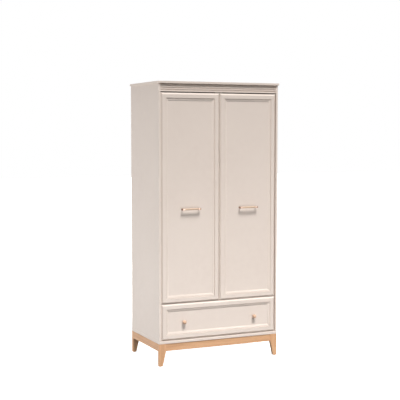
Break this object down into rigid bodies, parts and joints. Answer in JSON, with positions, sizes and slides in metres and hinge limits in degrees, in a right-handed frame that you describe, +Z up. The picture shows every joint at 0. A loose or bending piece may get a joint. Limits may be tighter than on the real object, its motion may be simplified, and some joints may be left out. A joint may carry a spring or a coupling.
{
  "type": "wardrobe",
  "caption": "Tall wardrobe with two framed doors over one drawer, reeded frieze, bar handles, ball knobs and tapered wooden legs.",
  "frame": {"origin": "on the floor, in the middle of the whole object's width and depth", "axes": "+Z up, +X to the right seen from the front, +Y to the back"},
  "size_m": [1.016, 0.612, 2.14],
  "materials": {
    "painted_board": "satin cashmere paint",
    "inner_board": "matt cashmere melamine",
    "oak": "matt lacquered oak",
    "light_wood": "satin lacquered wood",
    "beech": "raw",
    "hardboard": "smooth face",
    "bronze": "aged bronze",
    "steel": "zinc plated",
    "nickel": "bright nickel",
    "plastic": "moulded"
  },
  "bodies": {
    "carcass": {"back_apron": "oak", "back_joiner": "plastic", "back_panel_left": "hardboard", "back_panel_right": "hardboard", "bottom_board": "painted_board", "carcass_dowels": "beech", "corner_blocks": "beech", "cornice_board": "painted_board", "door_stops": "plastic", "drawer_divider": "inner_board", "frieze_rail": "painted_board", "front_apron": "oak", "hanging_rail": "nickel", "hat_shelf": "inner_board", "hinge_arms": "steel", "hinge_plates": "steel", "leg_back_left": "oak", "leg_back_right": "oak", "leg_front_left": "oak", "leg_front_right": "oak", "leg_glides": "plastic", "rail_sockets": "plastic", "runner_cabinet_members": "steel", "shelf_pins": "nickel", "side_apron_left": "oak", "side_apron_right": "oak", "side_panel_left": "painted_board", "side_panel_right": "painted_board", "top_board": "inner_board"},
    "left_door": {"left_door_bottom_rail": "painted_board", "left_door_panel": "painted_board", "left_door_top_rail": "painted_board", "left_handle_bar": "light_wood", "left_handle_posts": "bronze", "left_hinge_cups": "nickel", "left_hinge_pins": "steel", "left_hinge_stile": "painted_board", "left_meeting_stile": "painted_board"},
    "right_door": {"right_door_bottom_rail": "painted_board", "right_door_panel": "painted_board", "right_door_top_rail": "painted_board", "right_handle_bar": "light_wood", "right_handle_posts": "bronze", "right_hinge_cups": "nickel", "right_hinge_pins": "steel", "right_hinge_stile": "painted_board", "right_meeting_stile": "painted_board"},
    "drawer": {"drawer_back": "inner_board", "drawer_bottom": "hardboard", "drawer_bottom_rail": "painted_board", "drawer_front_panel": "painted_board", "drawer_knobs": "light_wood", "drawer_left_stile": "painted_board", "drawer_right_stile": "painted_board", "drawer_side_left": "inner_board", "drawer_side_right": "inner_board", "drawer_top_rail": "painted_board", "knob_stems": "bronze", "runner_drawer_members": "steel"},
    "runner_middles": {"runner_middle_members": "steel"}
  },
  "joints": [
    {"name": "left_door_hinge", "type": "hinge", "parent": "carcass", "child": "left_door", "pos_m": [-0.465, -0.268, 1.264], "axis": [0, 0, -1], "range_deg": [0, 100]},
    {"name": "right_door_hinge", "type": "hinge", "parent": "carcass", "child": "right_door", "pos_m": [0.465, -0.268, 1.264], "axis": [0, 0, 1], "range_deg": [0, 100]},
    {"name": "drawer_slide", "type": "slide", "parent": "carcass", "child": "drawer", "axis": [0, -1, 0], "range_m": [0, 0.45]},
    {"name": "runner_middle_slide", "type": "slide", "parent": "carcass", "child": "runner_middles", "axis": [0, -1, 0], "range_m": [0, 0.225]}
  ],
  "couplings": [
    {"joint": "runner_middle_slide", "follows": "drawer_slide", "ratio": 0.5}
  ]
}
